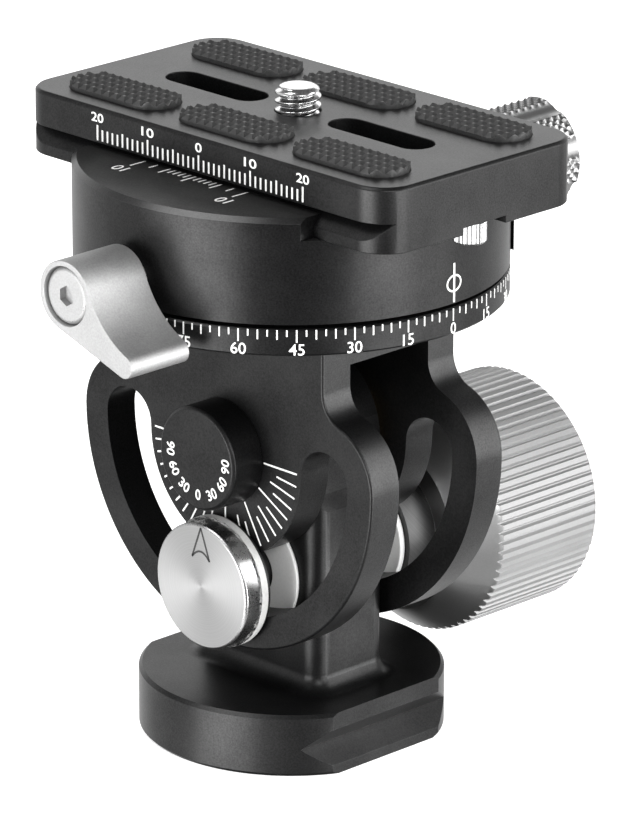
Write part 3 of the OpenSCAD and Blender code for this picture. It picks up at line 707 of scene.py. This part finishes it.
def wrapped_skin(name, around, heights, radius, place):
    """A grid wrapped into a closed turned form.

    radius takes angle and height, and place puts the form on its axis.
    """
    rows = len(heights)
    skin = added(
        bpy.ops.mesh.primitive_grid_add,
        name,
        x_subdivisions=around,
        y_subdivisions=rows - 1,
        size=MM,
    )

    def wrap(x, y, z):
        angle = 2 * math.pi * (x + 0.5)
        row = np.rint((y + 0.5) * (rows - 1)).astype(int)
        height = np.asarray(heights)[row]
        reach = radius(angle, height)
        return place(reach * np.cos(angle), reach * np.sin(angle), height)

    def axis_point(height):
        return np.array(place(np.zeros(1), np.zeros(1), np.array([height]))).ravel()

    def close_end(height):
        foot = axis_point(height)
        along = axis_point(height + 1.0) - foot

        def on_end(point):
            return abs(float(np.dot(np.array(point) - foot, along))) < SAME_POINT

        open_edges(skin, lambda a, b, sides: on_end(a) and on_end(b))
        bpy.ops.mesh.edge_face_add()
        close_mesh()

    reshape(skin, wrap)
    outward(skin)
    close_end(min(heights))
    close_end(max(heights))
    outward(skin)
    return skin


def zigzag(turns):
    """0 to 1 and back once in each turn."""
    return 1 - np.abs(2 * (turns - np.floor(turns)) - 1)


def on_clamp_axis(across, up, along):
    """Turned about the clamp screw, with angle nought straight up."""
    return up, along, CLAMP_Z + across


def fluted_knob():
    """The small knob: a diamond knurl on its lands between seven smooth flutes."""
    neck, grip, shoulder, end = 30.6, 36.0, 38.5, 49.9
    body_r, neck_r, chamfer = 7.9, 4.2, 0.7
    count, flute_r, flute_deep, first = 7, 2.4, 0.9, 22.0
    diamonds, deep, fade, fine = 36, 0.42, 0.25, 8
    past_grip = grip + SAME_POINT
    pitch = 2 * math.pi * body_r / diamonds
    flute_at = body_r - flute_deep + flute_r

    def profile(y):
        slope = body_r - (shoulder - y)
        tail = body_r - np.maximum(0, y - (end - chamfer))
        return np.where(y < past_grip, neck_r, np.minimum(np.minimum(slope, tail), body_r))

    def radius(angle, y):
        land = profile(y)
        turn = diamonds * angle / (2 * math.pi)
        tooth = np.minimum(zigzag(turn + y / pitch), zigzag(turn - y / pitch))
        room = np.clip(np.minimum(y - shoulder, end - chamfer - y) / fade, 0, 1)
        land = land - deep * (1 - tooth) * room
        step = 2 * math.pi / count
        off = (angle - math.radians(first) + step / 2) % step - step / 2
        inside = np.maximum(flute_r**2 - (flute_at * np.sin(off)) ** 2, 0)
        flute = flute_at * np.cos(off) - np.sqrt(inside)
        within = (np.abs(off) < math.asin(flute_r / flute_at)) & (y > past_grip)
        return np.where(within, np.minimum(land, flute), land)

    heights = [neck, neck + 0.3, grip - 0.3, grip, grip + 0.002, grip + 0.8, grip + 1.7]
    heights += list(np.arange(shoulder, end - chamfer, pitch / fine))
    heights += [end - chamfer, end - 0.35, end]
    knob = wrapped_skin("fluted_knob", fine * diamonds, heights, radius, on_clamp_axis)
    soften(knob, 38)
    dress(knob, "clamp_knob", "silver_anodised", bright_aluminium, "clamp_knob")


def camera_thread():
    """The 1/4 inch screw: its head from the solid, its thread a helix with a rounded lead."""
    foot, top = 88.7, 92.5
    crest, pitch, deep = 3.175, 1.27, 0.72
    lead_r, lead_l = 1.15, 0.5
    shank = machined("camera_screw", "screw_shank", 0.1)
    cut(shank, foot, (0, 0, 1), "clear_outer")

    def radius(angle, z):
        phase = z / pitch - angle / (2 * math.pi)
        flank = np.clip(1.6 * zigzag(phase) - 0.3, 0, 1)
        thread = crest - deep * (1 - flank)
        short = np.maximum(0, lead_r - (top - z))
        rounded = crest - lead_r + np.sqrt(np.maximum(0, lead_r**2 - short**2))
        return np.minimum(thread, rounded)

    def on_screw_axis(x, y, z):
        return x, y + PLATE_MID, z

    heights = list(np.linspace(foot - 0.05, top - lead_l, 66))
    heights += list(top - lead_l * np.linspace(1, 0, 9)[1:] ** 1.5)
    thread = wrapped_skin("screw_thread", 96, heights, radius, on_screw_axis)
    soften(thread, 50)
    screw = joined([shank, thread], "quarter_inch_screw")
    dress(screw, "camera_screw", "steel", polished_steel, "camera_screw")


def stop_heads():
    """The two stop screws: straight-knurled heads with a hex socket underneath."""
    head_r, low, high, reach = 2.25, 77.6, 80.9, 32.75
    teeth, deep, chamfer = 30, 0.1, 0.3
    key_r, key_deep = 1.45, 1.5

    def radius(angle, z):
        tooth = np.clip(1.7 * zigzag(teeth * angle / (2 * math.pi)), 0, 1)
        edge = np.minimum(z - low, high - z)
        ribbed = head_r - deep * (1 - tooth) * np.clip(edge / chamfer, 0, 1)
        return ribbed - np.maximum(0, chamfer - edge)

    steps = (0, 0.15, 0.3, 0.45)
    heights = [low + step for step in steps] + [high - step for step in steps[::-1]]
    head = wrapped_skin("stop_head", 6 * teeth, heights, radius, lambda x, y, z: (x, y, z))
    key = added(
        bpy.ops.mesh.primitive_cylinder_add,
        "stop_key",
        vertices=6,
        radius=key_r * MM,
        depth=2 * key_deep * MM,
        location=(0, 0, low * MM),
    )
    settle(key)
    tool(head, "BOOLEAN", operation="DIFFERENCE", object=key, solver="EXACT")
    bpy.data.objects.remove(key)
    soften(head, 30)
    shanks = machined("stop_screws", "stop_shanks", 0.1)
    cut(shanks, high - 0.02, (0, 0, 1), "clear_inner")
    heads = []
    for x in (-reach, reach):
        copy = twin(head, "stop_head_copy")
        copy.data.transform(Matrix.Translation((x * MM, PLATE_MID * MM, 0)))
        heads.append(copy)
    bpy.data.objects.remove(head)
    screws = joined([shanks] + heads, "plate_stop_screws")
    dress(screws, "drum", "silver_anodised", turned_silver, "stop_screws")


# Printed marks


def tick_model():
    """One printed stroke of unit size: a flat block with its upright edges eased."""
    tick = added(bpy.ops.mesh.primitive_cube_add, "stroke", size=1)
    open_edges(tick, lambda a, b, sides: abs(a.z - b.z) * MM > 0.5)
    bpy.ops.mesh.bevel(offset=0.06, segments=2, affect="EDGES")
    close_mesh()
    return tick


def set_down(piece, size, x, y, turn):
    """Sizes a mark and puts it on the flat sheet, in millimetres, with part of it below."""
    piece.data.transform(Matrix.Diagonal((*size, 1)))
    piece.data.transform(
        Matrix.Translation((x * MM, y * MM, -0.5 * INK * MM)) @ Matrix.Rotation(turn, 4, "Z")
    )


def stroke(model, x, y, wide, tall, turn=0.0):
    """A stroke on a flat sheet, in millimetres, turned in the sheet."""
    piece = twin(model, "stroke_copy")
    set_down(piece, (wide * MM, tall * MM, MARK_THICK * MM), x, y, turn)
    return piece


def line(model, start, end, wide):
    """A stroke between two points of the sheet."""
    run = Vector(end) - Vector(start)
    middle = (Vector(end) + Vector(start)) / 2
    turn = math.atan2(run.y, run.x) - math.pi / 2
    return stroke(model, middle.x, middle.y, wide, run.length, turn)


def figures(words, x, y, tall, wide=None, weight=0.0, turn=0.0):
    """Plain numbers on a flat sheet, centred, as tall and wide as given."""
    text = added(bpy.ops.object.text_add, "figures")
    text.data.body = words
    text.data.extrude = 0.05
    text.data.offset = weight
    text.data.resolution_u = 4
    pick(text)
    bpy.ops.object.convert(target="MESH")
    piece = named("figures")
    low = Vector(min(v.co[i] for v in piece.data.vertices) for i in range(3))
    high = Vector(max(v.co[i] for v in piece.data.vertices) for i in range(3))
    size = high - low
    scale_y = tall / size.y
    scale_x = wide / size.x if wide else scale_y
    piece.data.transform(Matrix.Translation(-(low + high) / 2))
    set_down(piece, (scale_x * MM, scale_y * MM, MARK_THICK / size.z * MM), x, y, turn)
    outward(piece)
    return piece


def print_on(pieces, name, body, lay, look=white_ink):
    """Joins the marks, lays the flat sheet on its surface and lets it ride."""
    sheet = joined(pieces, name)
    reshape(sheet, lay)
    dress(sheet, body, "white_plastic", look)


def on_front(y):
    """Lays a sheet on a face that looks along -Y."""
    return lambda u, v, out: (u, y - out, v)


def round_drum(turn):
    """Wraps a sheet on the drum's cylinder, its x along the rim from this azimuth."""

    def lay(u, v, out):
        angle = math.radians(turn) + u / DRUM_R
        return (DRUM_R + out) * np.cos(angle), (DRUM_R + out) * np.sin(angle), v

    return lay


def plate_scale(model):
    """Millimetres along the plate's side, from 20 to 0 to 20."""
    zero, foot, wide = 0.25, 84.4, 0.3
    long_top, middle_top, short_top = 86.55, 86.3, 86.0
    label_z, label_tall, label_weight = 87.62, 1.3, 0.012
    marks = []
    for step in range(-20, 21):
        top = long_top if step % 10 == 0 else middle_top if step % 5 == 0 else short_top
        marks.append(stroke(model, zero + step, (foot + top) / 2, wide, top - foot))
        if step % 10 == 0:
            label_wide = 2.4 if step else 1.25
            label = figures(
                str(abs(step)), zero + step, label_z, label_tall, label_wide, label_weight
            )
            marks.append(label)
    print_on(marks, "plate_scale", "drum", on_front(PLATE_Y))


def jaw_scale(model):
    """Millimetres on top of the fixed jaw, with their numbers turned outwards."""
    zero, inner, wide, label_tall = -1.3, -16.7, 0.26, 2.0
    rows = [(step, -18.2) for step in range(-4, 5) if step]
    rows += [(step, -19.0) for step in (-5, 5)]
    rows += [(step, -18.35) for step in (-7.5, 7.5)]
    rows += [(step, -19.55) for step in (-10, 0, 10)]
    marks = []
    for step, outer in rows:
        marks.append(stroke(model, zero + step, (inner + outer) / 2, wide, inner - outer))
    for x, y in ((-11.4, -21.3), (9.0, -21.5)):
        marks.append(figures("10", x, y, label_tall, turn=math.pi))
    print_on(marks, "jaw_scale", "drum", lambda u, v, out: (u, v, DRUM_TOP + out))


def index_mark(model):
    """The ring and bar on the drum that are read against the degrees below."""
    turn, middle, radius, stretch, wide = 2.2, 71.15, 1.24, 1.19, 0.28
    low, high, bar_wide = 68.46, 73.98, 0.35
    ring = added(
        bpy.ops.mesh.primitive_circle_add,
        "index_ring",
        vertices=48,
        radius=radius * MM,
        fill_type="NGON",
        location=(0, middle * MM, INK * MM),
    )
    settle(ring)
    open_mesh(ring)
    bpy.ops.mesh.select_mode(type="FACE")
    bpy.ops.mesh.select_all(action="SELECT")
    bpy.ops.transform.resize(value=(stretch, 1, 1))
    bpy.ops.mesh.inset(thickness=wide * MM)
    bpy.ops.mesh.delete(type="FACE")
    close_mesh()
    tool(ring, "SOLIDIFY", thickness=MARK_THICK * MM, offset=-1)
    outward(ring)
    bar = stroke(model, 0, (low + high) / 2, bar_wide, high - low)
    print_on([bar, ring], "index_mark", "drum", round_drum(turn))


def ring_scale(model):
    """Degrees round the fork's ring, from 0 to 180 both ways."""
    zero, top, wide = 2.0, 67.6, 0.2
    long_foot, middle_foot, short_foot = 65.85, 66.26, 66.68
    label_z, label_tall, label_weight = 64.85, 1.6, 0.005
    marks = []
    for step in range(144):
        turn = step * 2.5
        foot = long_foot if turn % 15 == 0 else middle_foot if turn % 5 == 0 else short_foot
        along = math.radians(turn) * DRUM_R
        marks.append(stroke(model, along, (top + foot) / 2, wide, top - foot))
        if turn % 15 == 0:
            value = int(turn if turn <= 180 else 360 - turn)
            marks.append(figures(str(value), along, label_z, label_tall, weight=label_weight))
    print_on(marks, "ring_scale", "fork", round_drum(zero))


def about(centre, turn, reach):
    """The point this far from a centre, its angle from straight down."""
    angle = math.radians(turn)
    return centre[0] + reach * math.sin(angle), centre[1] - reach * math.cos(angle)


def tilt_scale(model):
    """Degree lines on the front cheek, fanned out below the pivot."""
    outer, wide = 14.05, 0.26
    long_inner, middle_inner, short_inner = 7.6, 9.15, 10.2
    marks = []
    for step in range(-12, 13):
        turn = 7.5 * step
        inner = long_inner if step % 4 == 0 else middle_inner if step % 2 == 0 else short_inner
        marks.append(line(model, about(PIVOT, turn, inner), about(PIVOT, turn, outer), wide))
    print_on(marks, "tilt_scale", "fork", on_front(CHEEK_Y))


def cap_numbers():
    """Tilt angles on the pivot cap, a little off its middle."""
    off, reach, tall, weight = 0.35, 5.4, 1.55, 0.015
    middle = (PIVOT[0] + off, PIVOT[1] + off)
    marks = []
    for turn in range(-90, 91, 30):
        x, z = about(middle, turn, reach)
        marks.append(figures(str(abs(turn)), x, z, tall, weight=weight, turn=math.radians(turn)))
    print_on(marks, "cap_numbers", "fork", on_front(CAP_Y))


def pointer_arrow(model):
    """A narrow arrow head whose foot is an arc."""
    wide, half, steps = 0.29, 1.73, 4
    tip, arch, corner = 8.6, 5.15, 4.07
    bow = []
    for step in range(-steps, steps + 1):
        part = step / steps
        bow.append((half * step / steps, arch - (arch - corner) * part**2))
    runs = [((0, tip), bow[0]), ((0, tip), bow[-1])] + list(zip(bow, bow[1:]))
    marks = []
    for (x0, z0), (x1, z1) in runs:
        marks.append(line(model, (x0, z0 + POINTER_Z), (x1, z1 + POINTER_Z), wide))
    print_on(marks, "pointer_arrow", "base", on_front(POINTER_Y), grey_etch)


# Studio


def studio_mask(tree):
    """1 for rays from the camera and for reflections, 0 for light that falls on the object."""
    path = tree.nodes.new("ShaderNodeLightPath").outputs
    seen = math_node(tree, "ADD", path["Is Camera Ray"], path["Is Glossy Ray"])
    seen = math_node(tree, "ADD", seen, path["Is Transmission Ray"])
    return math_node(tree, "MINIMUM", seen, 1.0)


def studio_floor():
    """A pale floor that keeps the object's shadow and glows white to the camera."""
    floor = added(bpy.ops.mesh.primitive_plane_add, "studio_floor", size=8)
    material = bpy.data.materials.new("pale_floor")
    material.use_nodes = True
    tree = material.node_tree
    shader = tree.nodes["Principled BSDF"]
    shader.inputs["Base Color"].default_value = (0.8, 0.8, 0.8, 1)
    shader.inputs["Roughness"].default_value = 0.9
    shader.inputs["Specular IOR Level"].default_value = 0.0
    shader.inputs["Emission Color"].default_value = (1, 1, 1, 1)
    glow = math_node(tree, "MULTIPLY", studio_mask(tree), 0.62)
    tree.links.new(glow, shader.inputs["Emission Strength"])
    floor.data.materials.append(material)
    floor.visible_glossy = floor.visible_shadow = False


def graded(tree, value, stops):
    """A grey ramp over a value from -1 to 1."""
    ramp = tree.nodes.new("ShaderNodeValToRGB")
    places = ramp.color_ramp.elements
    places[0].position, places[1].position = stops[0][0], stops[-1][0]
    places[0].color, places[1].color = (*grey(stops[0][1]), 1), (*grey(stops[-1][1]), 1)
    for at, shade in stops[1:-1]:
        places.new(at).color = (*grey(shade), 1)
    half = math_node(tree, "MULTIPLY", value, 0.5)
    tree.links.new(math_node(tree, "ADD", half, 0.5), ramp.inputs["Fac"])
    return ramp.outputs["Color"]


def studio_world():
    """White all round. Reflections see it dim overhead, on the camera's side and below."""
    world = bpy.data.worlds.new("studio")
    bpy.context.scene.world = world
    world.use_nodes = True
    tree = world.node_tree
    background = tree.nodes["Background"]
    background.inputs["Color"].default_value = (1, 1, 1, 1)
    fill = 0.6
    path = tree.nodes.new("ShaderNodeLightPath").outputs
    outlook = tree.nodes.new("ShaderNodeTexCoord").outputs["Generated"]

    def dimmed(way, stops):
        """A ramp over how closely a ray goes this way."""
        towards = tree.nodes.new("ShaderNodeVectorMath")
        towards.operation = "DOT_PRODUCT"
        towards.inputs[1].default_value = way
        tree.links.new(outlook, towards.inputs[0])
        return graded(tree, towards.outputs["Value"], stops)

    side = dimmed((0.70, -0.68, -0.22), [(0.0, 1.0), (0.75, 1.0), (0.97, 0.3)])
    ground = dimmed((-0.22, -0.06, -0.97), [(0.0, 1.0), (0.85, 1.0), (0.92, 0.05)])
    level = dimmed((0, 0, 1), [(0.0, 0.9), (0.3, 1.0), (0.66, 1.0), (0.78, 0.3), (0.9, 0.15)])
    shown = math_node(tree, "ADD", path["Is Camera Ray"], path["Is Transmission Ray"])
    shown = math_node(tree, "MULTIPLY", math_node(tree, "MINIMUM", shown, 1.0), 1.0 - fill)
    mirrored = math_node(tree, "MULTIPLY", math_node(tree, "MULTIPLY", side, level), ground)
    mirrored = math_node(tree, "SUBTRACT", mirrored, fill)
    mirrored = math_node(tree, "MULTIPLY", mirrored, path["Is Glossy Ray"])
    strength = math_node(tree, "ADD", math_node(tree, "ADD", shown, mirrored), fill)
    tree.links.new(strength, background.inputs["Strength"])


def softbox(name, azimuth, elevation, distance, wide, tall, watts):
    """An area lamp that looks at the middle of the object, in degrees, metres and watts."""
    lamp = bpy.data.lights.new(name, "AREA")
    lamp.shape = "RECTANGLE"
    lamp.size, lamp.size_y, lamp.energy = wide, tall, watts
    holder = bpy.data.objects.new(name, lamp)
    bpy.context.scene.collection.objects.link(holder)
    turn, rise = math.radians(azimuth), math.radians(elevation)
    level = math.cos(rise)
    back = Vector((level * math.cos(turn), level * math.sin(turn), math.sin(rise)))
    holder.location = Vector((0, 0, MIDDLE_Z * MM)) + distance * back
    holder.rotation_euler = back.to_track_quat("Z", "Y").to_euler()
    holder.visible_camera = False


def studio_lights():
    softbox("left_box", -94, -10, 0.75, 0.54, 0.46, 6.8)
    softbox("right_box", 5, -6, 0.75, 0.42, 0.54, 4.9)
    softbox("high_box", 38, 14, 0.75, 0.38, 0.80, 4.8)
    softbox("back_box", 136, 28, 0.40, 0.45, 0.16, 0.27)
    softbox("top_box", -115, 58, 0.80, 0.50, 0.40, 3.0)
    softbox("front_box", -30, 24, 0.80, 0.30, 0.24, 2.4)
    softbox("floor_box", -66, -46, 0.50, 0.26, 0.26, 0.4)


def photo_camera():
    """The photograph's view, 634 by 816."""
    data = bpy.data.cameras.new("photo_camera")
    camera = bpy.data.objects.new("photo_camera", data)
    bpy.context.scene.collection.objects.link(camera)
    right = (0.6988, 0.7154, 0.0)
    up = (-0.2312, 0.2259, 0.9465)
    back = (0.6770, -0.6613, 0.3232)
    turn = Matrix((right, up, back)).transposed()
    camera.location = (0.58752, -0.57386, 0.3312)
    camera.rotation_euler = turn.to_euler()
    data.sensor_width = 36.0
    data.lens = 277.47
    data.shift_x, data.shift_y = 0.0311, -0.0372
    data.clip_start, data.clip_end = 0.01, 50
    bpy.context.scene.camera = camera


photo_camera()
dress_machined()
dress_disc()
dress_plain()
fluted_knob()
camera_thread()
stop_heads()

mark_model = tick_model()
plate_scale(mark_model)
jaw_scale(mark_model)
index_mark(mark_model)
ring_scale(mark_model)
tilt_scale(mark_model)
cap_numbers()
pointer_arrow(mark_model)
bpy.data.objects.remove(mark_model)

studio_floor()
studio_world()
studio_lights()
bpy.context.scene.view_settings.view_transform = "Standard"
